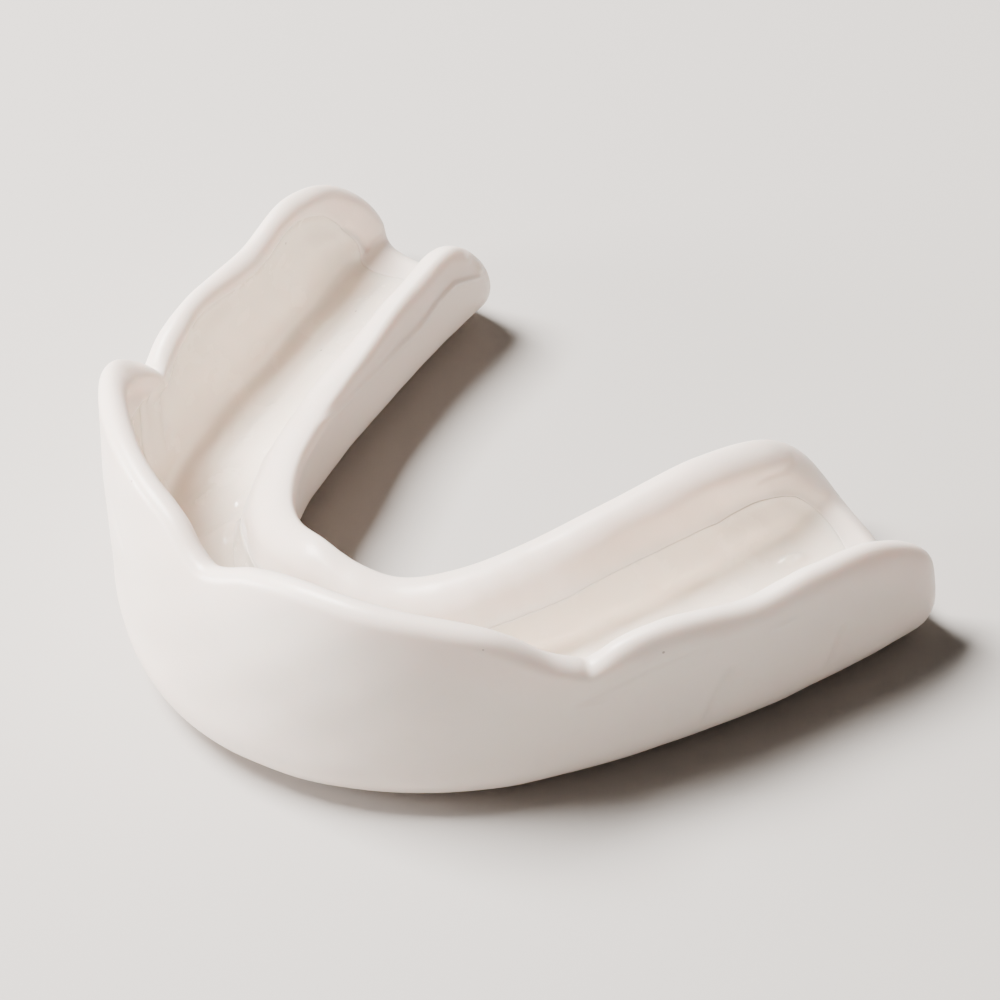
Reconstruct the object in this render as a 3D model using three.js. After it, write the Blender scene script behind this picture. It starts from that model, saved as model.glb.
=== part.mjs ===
// Upper-arch mouthguard: a firm trough-shaped shell with a rounded rim, lined with a softer
// moulded layer.
//
// Frame, millimetres: +Z up, the underside rests on z = 0 and the channel opens upwards.
// x = 0 and y = 0 are the middle of the shell's bounding box.  The front (labial side) faces -Y
// and the two legs run towards +Y.  "Right" means +X throughout, which is the wearer's left leg.
//
// Both pieces are folded sheets.  A point of the unfolded sheet has two coordinates:
//   along   distance along the arch from the mid-line, on the channel's floor line, + to the right
//   across  distance across the channel, + up the cheek (outer) wall, - up the tongue (inner) wall
// The trim line of the sheet is the rim of the finished guard.

import * as THREE from 'three';
import { ParametricGeometry } from 'three/addons/geometries/ParametricGeometry.js';
import { mergeGeometries, mergeVertices } from 'three/addons/utils/BufferGeometryUtils.js';

// ---------------------------------------------------------------- driving dimensions
const FLOOR_THICKNESS = 3.6;      // shell and liner together under the teeth
const CHEEK_WALL = 2.3;           // wall thicknesses at the rim
const TONGUE_WALL = 2.8;
const HALF_FLOOR = FLOOR_THICKNESS / 2;

// distances over which the floor thickness eases to the wall thickness
const CHEEK_THINNING = 12;
const TONGUE_THINNING_OUTSIDE = 6;
const TONGUE_THINNING_CHANNEL = 9;

const LINER_THICKNESS = 1.6;      // on the channel floor
const LINER_WALL = 1.25;          // on the walls
const LINER_THINNING = 8;         // eased from one to the other over this distance
const LINER_ROUND = 0.3;          // small round on the liner's edge
const BOND_GAP = 0.12;            // between the liner's back and the shell's pocket
const EDGE_GAP = 1.3 * BOND_GAP;  // between the liner's edge and the pocket's side
const POCKET_LIP = 0.22;          // small round on the pocket's edge

// the liner's surface lies this far below the rim band; negative stands proud
const STEP_CHEEK = 0.35;
const STEP_TONGUE = -0.15;
const STEP_INNER_SHARE = 0.6;     // share of the step left at the inner ring
const STEP_FADE_CELLS = 3;        // it fades to nothing over this many cells further in

// rim bead
const CHEEK_ROUND = 1.15;         // cheek side, both faces
const TONGUE_ROUND_OUTSIDE = 1.3; // tongue side, round to the tongue face
const TONGUE_ROUND_CHANNEL = 2;   // tongue side, long round into the channel
const TONGUE_RIDGE = 0.45;        // ridge shift towards the tongue face, share of half the wall
const BEAD_DEGREES = [0, 30, 60, 90];

// the channel floor rises towards the tongue wall and the rise dies out up that wall;
// starts are distances towards the tongue side
const RAMP = { height: 1.1, start: -3, span: 9, fadeStart: 7, fadeSpan: 7.5 };
// extra material at the foot of the tongue wall, fading out along the arch
const FILL = { height: 0.9, centre: 5, spread: 2.6, fadeStart: 8, fadeSpan: 14 };
// the channel side starts to bend sooner than the sheet does, and takes longer over it
const CHANNEL_BEND_LEAD = 2;
const CHANNEL_BEND_EXTRA = 3;

// width of the bare rim band at each point of the trim line
const BAND = [
  3, 3, 3, 3, 3.6, 4.9, 3, 2, 1.55, 1.35, 1.3, 1.35, 1.6, 1.75, 1.7, 2.3,
  3.4, 3.9, 3.9, 3.4, 3.2, 3.2, 3.3, 4.2, 5, 4.4, 4.2, 4, 3.9, 3.8, 3.8,
];
const BAND_TO_RING = 0.75;        // band to the inner ring, where the block of cells begins

// mesh density
const COLUMNS = 64;               // cells along the arch
const ROWS = 16;                  // cells across the channel
const HALF_COLUMNS = COLUMNS / 2;

// ---------------------------------------------------------------- the two halves of the arch
// distances along the arch at which the values below are given
const CURVATURE_AT = [0, 7, 14, 22, 32, 44, 58];
const SECTION_AT = [0, 12, 24, 38, 52];

// Close to symmetric, not exactly so.
//   curvature  of the floor line, radians per mm
//   floor      flat distance from the floor line to the bend
//   bend       length of the bend
//   rise       angle the bend turns through, radians
//   flare      further turning of the wall past the bend, radians per mm
//   trim       trim line as [along, across], from the labial notch round the rear end
//              to the palatal mid-line; along counts positive on both halves
const RIGHT = {
  sign: 1,
  curvature: [0.0533, 0.0517, 0.047, 0.0278, 0.0086, 0.0109, 0.0008],
  cheek: {
    floor: [3.36, 2.77, 2.5, 2.57, 2.03],
    bend: [7.7, 7.6, 7.48, 7.26, 6.68],
    rise: [1.673, 1.562, 1.511, 1.546, 1.523],
    flare: [0.029, 0.013, 0, -0.003, -0.002],
  },
  tongue: {
    floor: [0.8, 0.8, 0.8, 0.8, 0.82],
    bend: [3.6, 4.4, 6, 9.22, 12.56],
    rise: [1.367, 1.336, 1.31, 1.452, 1.586],
    flare: [0, 0, 0, 0, 0],
  },
  trim: [
    [0.00, 22.78], [1.13, 23.16], [3.57, 24.46], [7.97, 25.33], [13.30, 24.52],
    [19.15, 22.17], [22.64, 18.49], [24.13, 17.40], [24.68, 16.95], [25.11, 17.09],
    [26.80, 18.00], [30.00, 18.35], [33.20, 17.80], [37.08, 16.92], [42.05, 17.15],
    [47.20, 15.90], [51.60, 11.60], [51.97, 7.02], [51.77, 3.96], [52.03, 0.66],
    [52.46, -3.34], [52.01, -8.15], [49.99, -12.82], [46.61, -15.80], [39.99, -16.87],
    [31.74, -15.58], [23.75, -14.00], [15.82, -12.78], [10.01, -12.20], [5.21, -12.73],
    [0.00, -13.52],
  ],
};
const LEFT = {
  sign: -1,
  curvature: [0.0541, 0.0559, 0.0509, 0.0298, 0.0026, 0.0118, 0.0021],
  cheek: {
    floor: [3.36, 2.76, 2.71, 2.24, 1.69],
    bend: [7.7, 7.68, 7.65, 7.04, 6.43],
    rise: [1.673, 1.575, 1.5, 1.562, 1.549],
    flare: [0.029, 0.016, 0.001, -0.003, -0.001],
  },
  tongue: {
    floor: [0.8, 0.8, 0.8, 0.8, 0.8],
    bend: [3.6, 4.4, 5.63, 8.85, 11.96],
    rise: [1.367, 1.335, 1.327, 1.594, 1.647],
    flare: [0, 0, 0, 0, 0],
  },
  trim: [
    [0.00, 22.78], [1.12, 23.16], [3.61, 24.51], [7.96, 25.03], [13.17, 24.79],
    [18.12, 23.37], [21.85, 19.30], [23.41, 16.88], [23.67, 16.31], [24.02, 16.58],
    [25.80, 17.50], [29.40, 18.05], [32.80, 17.60], [37.00, 17.02], [42.21, 17.38],
    [46.74, 15.08], [50.44, 10.38], [51.55, 6.97], [51.04, 3.69], [50.65, 0.39],
    [50.25, -3.38], [49.85, -7.60], [48.80, -11.60], [46.20, -14.35], [40.08, -13.75],
    [31.80, -12.60], [23.76, -12.85], [15.90, -12.40], [10.09, -12.14], [5.21, -12.73],
    [0.00, -13.52],
  ],
};

// positions on the trim line, counted in trim points
const TRIM_COUNT = RIGHT.trim.length - 1;
const FULL_TRIM = 2 * TRIM_COUNT;
const CHEEK_NOTCH = 8;
const REAR_START = 15.62;         // the rear end begins here, cheek side
const REAR_END = 22.35;           // and ends here, tongue side

// ---------------------------------------------------------------- small helpers
const mix = (from, to, share) => from + (to - from) * share;
const bell = (offset, spread) => Math.exp(-((offset / spread) ** 2));

// 0 before start, 1 after start + span, smooth between
function easeOver(value, start, span) {
  const t = THREE.MathUtils.clamp((value - start) / span, 0, 1);
  return t * t * t * (10 - 15 * t + 6 * t * t);
}

// smooth curve through the station values, level at station 0 and straight past the last one
function curveThrough(stations, values, x) {
  const last = stations.length - 1;
  const gap = (i) => stations[i + 1] - stations[i];
  const slope = (i) => (values[i + 1] - values[i]) / gap(i);
  const tangent = (i) => {
    if (i === 0) return 0;
    if (i === last) return slope(last - 1);
    return (slope(i - 1) * gap(i) + slope(i) * gap(i - 1)) / (gap(i - 1) + gap(i));
  };
  let i = 0;
  while (i < last - 1 && x >= stations[i + 1]) i++;
  const t = (x - stations[i]) / gap(i);
  if (t > 1) return values[last] + (t - 1) * gap(i) * tangent(last);
  return (1 + 2 * t) * (1 - t) ** 2 * values[i]
    + t * (1 - t) ** 2 * gap(i) * tangent(i)
    + t * t * (3 - 2 * t) * values[i + 1]
    + t * t * (t - 1) * gap(i) * tangent(i + 1);
}

// ---------------------------------------------------------------- floor line of the arch
const LINE_STEP = 0.05;
const LINE_STEPS = 1400;

// position and heading of one half, found by adding up its curvature
function archLine({ curvature }) {
  const line = { x: [0], y: [0], turn: [0] };
  let previous = curvature[0];
  for (let i = 1; i <= LINE_STEPS; i++) {
    const current = curveThrough(CURVATURE_AT, curvature, i * LINE_STEP);
    const turn = line.turn[i - 1] + 0.5 * (current + previous) * LINE_STEP;
    const heading = 0.5 * (turn + line.turn[i - 1]);
    line.turn.push(turn);
    line.x.push(line.x[i - 1] + Math.cos(heading) * LINE_STEP);
    line.y.push(line.y[i - 1] + Math.sin(heading) * LINE_STEP);
    previous = current;
  }
  return line;
}
for (const side of [RIGHT, LEFT]) side.line = archLine(side);

function onLine(values, distance) {
  const position = distance / LINE_STEP;
  const i = Math.floor(position);
  return mix(values[i], values[i + 1], position - i);
}

// ---------------------------------------------------------------- the folded sheet
function sectionAt(along, across) {
  const side = along >= 0 ? RIGHT : LEFT;
  const distance = Math.abs(along);
  const wall = across >= 0 ? side.cheek : side.tongue;
  const value = (name) => curveThrough(SECTION_AT, wall[name], distance);
  return {
    side,
    distance,
    outward: across >= 0 ? 1 : -1,
    floor: value('floor'),
    bend: value('bend'),
    rise: value('rise'),
    flare: value('flare'),
  };
}

// slope angle of the sheet at a distance from the floor line, for a bend starting at `start`
function foldAngle(section, distance, start, span) {
  return section.rise * easeOver(distance, start, span)
    + section.flare * Math.max(distance - section.floor - section.bend, 0);
}

// vector in the plane of a section: outwards from the arch, and up
function sectionVector({ side, distance }, outwards, up) {
  const turn = onLine(side.line.turn, distance);
  return new THREE.Vector3(outwards * Math.sin(turn) * side.sign, -outwards * Math.cos(turn), up);
}

// middle surface of the sheet, found by adding up short slices
const SLICES = 28;
function middle(along, across) {
  const section = sectionAt(along, across);
  const { side, distance, outward, floor, bend } = section;
  const width = Math.abs(across);
  let outwards = 0;
  let up = 0;
  for (let i = 0; i < SLICES; i++) {
    const angle = foldAngle(section, width * (i + 0.5) / SLICES, floor, bend);
    outwards += Math.cos(angle);
    up += Math.sin(angle);
  }
  return sectionVector(section, outward * outwards * width / SLICES, up * width / SLICES + HALF_FLOOR)
    .add(new THREE.Vector3(
      onLine(side.line.x, distance) * side.sign,
      onLine(side.line.y, distance),
      0,
    ));
}

// unit normal of the middle surface, pointing away from the channel
const NORMAL_REACH = 0.02;
function awayNormal(along, across) {
  const alongStep = middle(along + NORMAL_REACH, across)
    .sub(middle(along - NORMAL_REACH, across));
  const acrossStep = middle(along, across + NORMAL_REACH)
    .sub(middle(along, across - NORMAL_REACH));
  return alongStep.cross(acrossStep).normalize();
}

// direction from the middle surface towards the channel; it turns more slowly than the sheet,
// so the inside corners come out fuller than the outside ones
function channelDirection(along, across) {
  const section = sectionAt(along, across);
  const start = Math.max(0, section.floor - CHANNEL_BEND_LEAD);
  const span = section.bend + (section.floor - start) + CHANNEL_BEND_EXTRA;
  const angle = foldAngle(section, Math.abs(across), start, span);
  return sectionVector(section, -section.outward * Math.sin(angle), Math.cos(angle));
}

// half the wall thickness, without the ramp and fill
function halfWall(along, across, tongueThinning) {
  const { floor } = sectionAt(along, across);
  return across >= 0
    ? mix(HALF_FLOOR, CHEEK_WALL / 2, easeOver(across, floor, CHEEK_THINNING))
    : mix(HALF_FLOOR, TONGUE_WALL / 2, easeOver(-across, floor, tongueThinning));
}

// from the middle surface to the channel face
function channelDepth(along, across) {
  const ramp = RAMP.height * easeOver(-across, RAMP.start, RAMP.span)
    * (1 - easeOver(-across, RAMP.fadeStart, RAMP.fadeSpan));
  const fill = across >= 0 ? 0 : FILL.height * bell(-across - FILL.centre, FILL.spread)
    * (1 - easeOver(Math.abs(along), FILL.fadeStart, FILL.fadeSpan));
  return halfWall(along, across, TONGUE_THINNING_CHANNEL) + fill + ramp;
}

function linerDepth(along, across) {
  const { floor } = sectionAt(along, across);
  return mix(LINER_THICKNESS, LINER_WALL, easeOver(Math.abs(across), floor, LINER_THINNING));
}

// Points of the faces.  Rounding is 0 on the rim's ridge and 1 past the bead.
const FLAT_TOLERANCE = 1e-6;
function outerPoint(along, across, rounding) {
  const depth = halfWall(along, across, TONGUE_THINNING_OUTSIDE) * rounding;
  const point = middle(along, across).addScaledVector(awayNormal(along, across), depth);
  // at full floor thickness the underside is exactly flat
  if (depth > HALF_FLOOR - FLAT_TOLERANCE) point.z = 0;
  return point;
}

// drop is measured below the channel face
function channelPoint(along, across, rounding, drop = 0) {
  const depth = channelDepth(along, across) * rounding - drop;
  return middle(along, across).addScaledVector(channelDirection(along, across), depth);
}

// bottom of the shell's pocket, or with a gap the liner's back
function pocketPoint(along, across, gap = 0) {
  return channelPoint(along, across, 1, linerDepth(along, across) - gap);
}

// ---------------------------------------------------------------- trim line, closed
// As a Vector3 of the sheet, x is along and y is across.
const rim = new THREE.CatmullRomCurve3([
  ...RIGHT.trim.map(([along, across]) => new THREE.Vector3(along, across, 0)),
  ...LEFT.trim.slice(1, -1).reverse().map(([along, across]) => new THREE.Vector3(-along, across, 0)),
], true, 'centripetal');
const rimAt = (index) => rim.getPoint((((index / FULL_TRIM) % 1) + 1) % 1);
const mirrored = (index) => FULL_TRIM - index;

// point of one half's trim line, along counting positive on both halves
function halfPoint(side, index) {
  const point = rimAt(side === RIGHT ? index : mirrored(index));
  return new THREE.Vector2(point.x * side.sign, point.y);
}

// inward directions of the trim line at evenly spaced places, smoothed so that neighbouring
// directions never cross
const FIELD_COUNT = 2400;
const DENSE_COUNT = 12000;        // points used to measure the trim line's length
const TANGENT_REACH = 0.01;       // in trim points
const SMOOTHING_REACH = 1.3;
const SMOOTHING_PASSES = 2;

function inwardField() {
  const indexPerPoint = FULL_TRIM / DENSE_COUNT;
  const lengths = [0];
  let previous = rimAt(0);
  for (let i = 1; i <= DENSE_COUNT; i++) {
    const point = rimAt(i * FULL_TRIM / DENSE_COUNT);
    lengths.push(lengths[i - 1] + point.distanceTo(previous));
    previous = point;
  }
  const spacing = lengths[DENSE_COUNT] / FIELD_COUNT;

  const indices = [];
  let j = 0;
  for (let i = 0; i < FIELD_COUNT; i++) {
    const length = i * spacing;
    while (lengths[j + 1] < length) j++;
    const share = (length - lengths[j]) / (lengths[j + 1] - lengths[j]);
    indices.push((j + share) * indexPerPoint);
  }

  let directions = indices.map((index) => {
    const before = rimAt(index - TANGENT_REACH);
    const after = rimAt(index + TANGENT_REACH);
    return new THREE.Vector2(after.y - before.y, before.x - after.x).normalize();
  });
  const reachCount = Math.round(SMOOTHING_REACH / spacing);
  for (let pass = 0; pass < SMOOTHING_PASSES; pass++) {
    const rough = directions;
    directions = rough.map((_, i) => {
      const sum = new THREE.Vector2();
      for (let k = -reachCount; k <= reachCount; k++) {
        sum.add(rough[(i + k + FIELD_COUNT) % FIELD_COUNT]);
      }
      return sum.normalize();
    });
  }
  return { indices, directions };
}

const field = inwardField();
function inwardAt(index) {
  const { indices, directions } = field;
  const i = indices.findLastIndex((fieldIndex) => fieldIndex <= index);
  const share = (index - indices[i]) / (indices[i + 1] - indices[i]);
  return directions[i].clone().multiplyScalar(1 - share)
    .addScaledVector(directions[i + 1], share).normalize();
}

// ---------------------------------------------------------------- samples along the trim line
const LENGTH_GRID = 1500;         // steps used to measure a stretch of trim line
const BISECTIONS = 50;

// trim indices that cut a stretch into cells of equal weighted length
function splitEvenly(side, from, to, cells, weight) {
  const indexAt = (i) => from + (to - from) * i / LENGTH_GRID;
  const sums = [0];
  for (let i = 1; i <= LENGTH_GRID; i++) {
    const start = halfPoint(side, indexAt(i - 1));
    const end = halfPoint(side, indexAt(i));
    sums.push(sums[i - 1] + start.distanceTo(end) * weight(0.5 * (start.x + end.x)));
  }
  const cuts = [from];
  let j = 0;
  for (let k = 1; k < cells; k++) {
    const target = sums[LENGTH_GRID] * k / cells;
    while (j < LENGTH_GRID - 1 && sums[j + 1] < target) j++;
    cuts.push(indexAt(j + (target - sums[j]) / (sums[j + 1] - sums[j])));
  }
  cuts.push(to);
  return cuts;
}

// trim index on the tongue side that lies at a given distance along the arch
function tongueIndex(side, along) {
  let low = REAR_END;
  let high = TRIM_COUNT;
  for (let i = 0; i < BISECTIONS; i++) {
    const centre = 0.5 * (low + high);
    if (halfPoint(side, centre).x > along) low = centre;
    else high = centre;
  }
  return 0.5 * (low + high);
}

// Trim indices of one half: cheek side from the mid-line to the rear, the rear end, then the
// tongue side back to the mid-line.
function halfSamples(side) {
  // samples crowd together at the two notches and at the rear corner
  const crowding = [
    { at: 0, spread: 2.4, gain: 2.2 },
    { at: side.trim[CHEEK_NOTCH][0], spread: 3.2, gain: 1.6 },
    { at: 49, spread: 3, gain: 0.6 },
  ];
  const weight = (along) => crowding.reduce(
    (sum, { at, spread, gain }) => sum + gain * bell(along - at, spread),
    1,
  );
  const cheek = splitEvenly(side, 0, REAR_START, HALF_COLUMNS, weight);
  const rear = splitEvenly(side, REAR_START, REAR_END, ROWS, () => 1);

  // tongue samples face the cheek ones, scaled to the tongue side's own rear corner
  const cheekEnd = halfPoint(side, REAR_START).x;
  const tongueEnd = halfPoint(side, REAR_END).x;
  const tongue = cheek.slice(1, -1).reverse().map(
    (index) => tongueIndex(side, halfPoint(side, index).x * tongueEnd / cheekEnd),
  );
  return [...cheek, ...rear.slice(1), ...tongue, TRIM_COUNT];
}

// closed loop of samples: cheek side left to right, right rear end, tongue side right to left,
// left rear end
const rightHalf = halfSamples(RIGHT);
const leftHalf = halfSamples(LEFT);
const loopIndex = [
  ...leftHalf.slice(1, HALF_COLUMNS + 1).reverse().map(mirrored),
  ...rightHalf.slice(0, -1),
  ...leftHalf.slice(HALF_COLUMNS + 1).reverse().map(mirrored),
];
const LOOP = loopIndex.length;

// ---------------------------------------------------------------- rays from the rim inwards
const RING_SMOOTHING_PASSES = 6;
const RING_CLEARANCE = 0.85 * BAND_TO_RING;   // least distance kept between band and inner ring

function bandAt(index) {
  const position = index > TRIM_COUNT ? mirrored(index) : index;
  const i = Math.min(Math.floor(position), TRIM_COUNT - 1);
  return mix(BAND[i], BAND[i + 1], position - i);
}

function innerRing() {
  let ring = loopIndex.map((index, ray) => outline[ray].clone()
    .addScaledVector(inwardAt(index), bandAt(index) + BAND_TO_RING));
  for (let pass = 0; pass < RING_SMOOTHING_PASSES; pass++) {
    const rough = ring;
    ring = rough.map((point, ray) => point.clone().multiplyScalar(2)
      .add(rough[(ray + 1) % LOOP])
      .add(rough[(ray + LOOP - 1) % LOOP])
      .multiplyScalar(0.25));
  }
  return ring;
}

// one ray per sample, from the outline to the inner ring
const outline = loopIndex.map((index) => {
  const { x, y } = rimAt(index);
  return new THREE.Vector2(x, y);
});
const inner = innerRing();
const reach = inner.map((point, ray) => point.distanceTo(outline[ray]));
const band = loopIndex.map((index, ray) => Math.min(bandAt(index), reach[ray] - RING_CLEARANCE));

// sheet position at a distance from the rim
function onRay(ray, distance) {
  const share = distance / reach[ray];
  return [
    mix(outline[ray].x, inner[ray].x, share),
    mix(outline[ray].y, inner[ray].y, share),
  ];
}

// rim values, blended from the tongue side to the cheek side
const cheekShare = (across) => easeOver(across, -8, 14);
const roundOutside = (across) => mix(TONGUE_ROUND_OUTSIDE, CHEEK_ROUND, cheekShare(across));
const roundChannel = (across) => mix(TONGUE_ROUND_CHANNEL, CHEEK_ROUND, cheekShare(across));
const ridgeShift = (across) => mix(TONGUE_RIDGE * TONGUE_WALL / 2, 0, cheekShare(across));
const stepAt = (ray) => mix(STEP_TONGUE, STEP_CHEEK, easeOver(outline[ray].y, -7, 10));

// ---------------------------------------------------------------- block inside the inner ring
// columns run from left to right, rows from cheek to tongue
const END_BLEND = 0.22;           // share of the length over which the rear ends shape the block

// loop position of a block point on the inner ring, -1 inside it
function ringIndex(column, row) {
  if (row === 0) return column;
  if (column === COLUMNS) return COLUMNS + row;
  if (row === ROWS) return 2 * COLUMNS + ROWS - column;
  if (column === 0) return LOOP - row;
  return -1;
}

function blockPosition(column, row) {
  const ringPoint = (...cell) => inner[ringIndex(...cell)];
  if (ringIndex(column, row) >= 0) return ringPoint(column, row);
  const share = row / ROWS;
  const position = ringPoint(column, 0).clone().lerp(ringPoint(column, ROWS), share);
  for (const end of [0, COLUMNS]) {
    const chord = ringPoint(end, 0).clone().lerp(ringPoint(end, ROWS), share);
    const distance = Math.abs(column - end) / COLUMNS;
    const fade = Math.max(0, 1 - distance / END_BLEND) ** 2;
    position.addScaledVector(ringPoint(end, row).clone().sub(chord), fade);
  }
  return position;
}

const block = Array.from(
  { length: COLUMNS + 1 },
  (_, column) => Array.from({ length: ROWS + 1 }, (__, row) => blockPosition(column, row)),
);

// the liner's step fades out towards the middle of the channel
function blockDrop(column, row) {
  const ray = ringIndex(column, row);
  if (ray >= 0) return STEP_INNER_SHARE * stepAt(ray);
  const cellsIn = Math.min(column, COLUMNS - column, row, ROWS - row);
  const step = mix(STEP_CHEEK, STEP_TONGUE, easeOver(row, 0, ROWS));
  return STEP_INNER_SHARE * step * (1 - easeOver(cellsIn, 0, STEP_FADE_CELLS));
}

// ---------------------------------------------------------------- patches and solids
function swapCorners(index) {
  for (let i = 0; i < index.length; i += 3) {
    [index[i], index[i + 1]] = [index[i + 1], index[i]];
  }
}

// grid of points; flipped turns its faces over
function patch(point, columns, rows, flipped) {
  const geometry = new ParametricGeometry((u, v, target) => {
    target.copy(point(Math.round(u * columns), Math.round(v * rows)));
  }, columns, rows);
  geometry.deleteAttribute('normal');
  geometry.deleteAttribute('uv');
  if (flipped) swapCorners(geometry.index.array);
  return geometry;
}

// closed strip around the loop; each row is a function of the ray
const ringPatch = (rows, { flipped }) => patch(
  (column, row) => rows[row](column % LOOP), LOOP, rows.length - 1, flipped,
);

const blockPatch = (point, { flipped }) => patch((column, row) => {
  const { x, y } = block[column][row];
  return point(x, y, column, row);
}, COLUMNS, ROWS, flipped);

const WELD_DISTANCE = 1e-4;

// patches welded into one closed mesh with its faces outwards
function solid(patches) {
  const geometry = mergeVertices(mergeGeometries(patches), WELD_DISTANCE);
  const { position } = geometry.attributes;
  const index = geometry.index.array;
  const kept = [];
  let volume = 0;
  for (let i = 0; i < index.length; i += 3) {
    const corners = [index[i], index[i + 1], index[i + 2]];
    if (new Set(corners).size < 3) continue;
    kept.push(...corners);
    const [first, second, third] = corners.map(
      (corner) => new THREE.Vector3().fromBufferAttribute(position, corner),
    );
    volume += first.dot(second.cross(third)) / 6;
  }
  if (volume < 0) swapCorners(kept);
  geometry.setIndex(kept);
  geometry.computeVertexNormals();
  return geometry;
}

// quarter-round from the rim's ridge to one face
const beadRows = (facePoint, roundAt) => BEAD_DEGREES.map((degrees) => (ray) => {
  const angle = degrees * Math.PI / 180;
  const rimAcross = outline[ray].y;
  const position = onRay(ray, roundAt(rimAcross) * (1 - Math.cos(angle)));
  const shift = ridgeShift(rimAcross) * (1 - Math.sin(angle));
  return facePoint(...position, Math.sin(angle)).addScaledVector(awayNormal(...position), shift);
});

// ---------------------------------------------------------------- the two pieces
function makeShellGeometry() {
  const outerRows = [
    ...beadRows(outerPoint, roundOutside),
    (ray) => outerPoint(...onRay(ray, 0.5 * (band[ray] + roundOutside(outline[ray].y))), 1),
    (ray) => outerPoint(...onRay(ray, reach[ray]), 1),
  ];
  // bead, bare band, pocket edge, pocket side, pocket bottom
  const pocketRows = [
    ...beadRows(channelPoint, roundChannel),
    (ray) => channelPoint(...onRay(ray, band[ray] - POCKET_LIP), 1),
    (ray) => channelPoint(...onRay(ray, band[ray]), 1, POCKET_LIP),
    (ray) => pocketPoint(...onRay(ray, band[ray])),
    (ray) => pocketPoint(...onRay(ray, reach[ray])),
  ];
  return solid([
    ringPatch(outerRows, { flipped: false }),
    blockPatch((along, across) => outerPoint(along, across, 1), { flipped: false }),
    ringPatch(pocketRows, { flipped: true }),
    blockPatch((along, across) => pocketPoint(along, across), { flipped: true }),
  ]);
}

function makeLinerGeometry() {
  const edge = (ray) => band[ray] + EDGE_GAP;
  // from the top face over the rounded edge and down to the back
  const edgeRows = [
    (ray) => channelPoint(...onRay(ray, reach[ray]), 1, STEP_INNER_SHARE * stepAt(ray)),
    (ray) => channelPoint(...onRay(ray, edge(ray) + LINER_ROUND), 1, stepAt(ray)),
    (ray) => channelPoint(...onRay(ray, edge(ray)), 1, stepAt(ray) + LINER_ROUND),
    (ray) => pocketPoint(...onRay(ray, edge(ray)), BOND_GAP),
    (ray) => pocketPoint(...onRay(ray, reach[ray]), BOND_GAP),
  ];
  const topPoint = (along, across, column, row) => (
    channelPoint(along, across, 1, blockDrop(column, row))
  );
  return solid([
    blockPatch((along, across) => pocketPoint(along, across, BOND_GAP), { flipped: false }),
    ringPatch(edgeRows, { flipped: false }),
    blockPatch(topPoint, { flipped: true }),
  ]);
}

const shellMaterial = new THREE.MeshStandardMaterial({
  color: 0xded3cb,
  roughness: 0.45,
  metalness: 0,
});
const linerMaterial = new THREE.MeshStandardMaterial({
  color: 0xd9ccc0,
  roughness: 0.26,
  metalness: 0,
});

// ---------------------------------------------------------------- the assembly
const outerShell = new THREE.Mesh(makeShellGeometry(), shellMaterial);
outerShell.name = 'outer_shell';
const innerLiner = new THREE.Mesh(makeLinerGeometry(), linerMaterial);
innerLiner.name = 'inner_liner';

const mouthguard = new THREE.Group();
mouthguard.name = 'mouthguard';
mouthguard.add(outerShell, innerLiner);

// centre the shell in x and y
outerShell.geometry.computeBoundingBox();
const { min, max } = outerShell.geometry.boundingBox;
mouthguard.position.set(-(min.x + max.x) / 2, -(min.y + max.y) / 2, 0);

export default mouthguard;
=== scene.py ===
# Moulded mouth guard: an outer shell and the liner set into its channel.
# It lies on z = 0 with the channel opening up (+Z). The front of the arch faces -Y and the two
# legs run back along +Y. RIGHT is the +X half, LEFT the -X half.
#
# Each face is a folded sheet. A sheet position is (along, across) in mm on the middle surface:
# along runs round the arch from the front (+ on the right half), across runs over the channel
# (+ up the cheek wall, - up the tongue wall). Lengths are in mm unless noted.
import math
import bpy
import numpy as np
from mathutils import Matrix, Vector


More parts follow.
